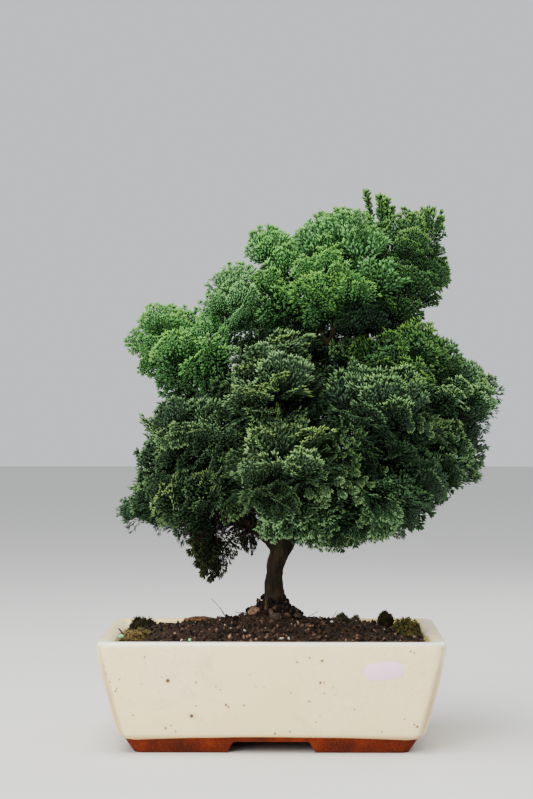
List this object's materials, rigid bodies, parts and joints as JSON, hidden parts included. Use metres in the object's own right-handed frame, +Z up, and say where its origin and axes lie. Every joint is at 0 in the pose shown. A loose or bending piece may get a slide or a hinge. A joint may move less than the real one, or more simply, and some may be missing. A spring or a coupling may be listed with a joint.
{
  "type": "hinoki cypress bonsai",
  "caption": "Small hinoki cypress tree with dense rounded foliage masses on a short curved trunk, growing in a cream glazed rectangular pot on cut-out feet.",
  "frame": {"origin": "the surface that the pot stands on, under the middle of the overall box", "axes": "+Z up the trunk, -Y towards the front (the long wall with the label), +X to the right seen from the front"},
  "size_m": [0.282, 0.215, 0.3931],
  "materials": {
    "glaze": "satin cream glaze with iron specks, bare terracotta foot",
    "mesh_plastic": "matte",
    "clip_wire": "satin",
    "soil": "damp dark potting mix",
    "bark": "rough fibrous bark",
    "foliage": "satin scale leaves",
    "foliage_shaded": "satin scale leaves, shaded",
    "moss": "velvety",
    "lichen": "dry crust",
    "litter": "dry",
    "label_paper": "coated paper"
  },
  "bodies": {
    "root": {"pot": "glaze", "drainage_mesh_left": "mesh_plastic", "drainage_mesh_right": "mesh_plastic", "mesh_clip_left": "clip_wire", "mesh_clip_right": "clip_wire", "soil": "soil", "trunk": "bark", "price_label": "label_paper", "moss_right_dark": "moss", "moss_right_green": "moss", "moss_left_green": "moss", "moss_left_dark": "moss", "lichen_back": "lichen", "bark_flake": "litter", "tan_lump_left": "litter", "tan_lump_front": "litter", "tan_lump_right": "litter", "foliage_shoulder_upper_left": "foliage", "foliage_peak_left": "foliage", "foliage_crown_centre": "foliage", "foliage_crown_right": "foliage", "foliage_shoulder_left": "foliage", "foliage_shoulder_right": "foliage", "foliage_flank_right": "foliage", "foliage_front_right": "foliage", "foliage_front_centre": "foliage", "foliage_flank_left": "foliage", "foliage_skirt_left": "foliage", "foliage_tip_low_left": "foliage", "foliage_front_low": "foliage", "foliage_skirt_right": "foliage", "foliage_flank_low_right": "foliage", "foliage_fringe_centre": "foliage", "foliage_fringe_right": "foliage", "foliage_hanging_left": "foliage_shaded", "foliage_crown_back": "foliage", "foliage_crown_back_right": "foliage", "foliage_shoulder_back_left": "foliage", "foliage_peak_back": "foliage", "foliage_back_left": "foliage", "foliage_back_right": "foliage", "foliage_back_centre": "foliage", "foliage_skirt_back_left": "foliage", "foliage_skirt_back": "foliage", "foliage_skirt_back_right": "foliage", "foliage_heart": "foliage", "foliage_hollow_left": "foliage", "foliage_hollow_right": "foliage"}
  },
  "joints": []
}
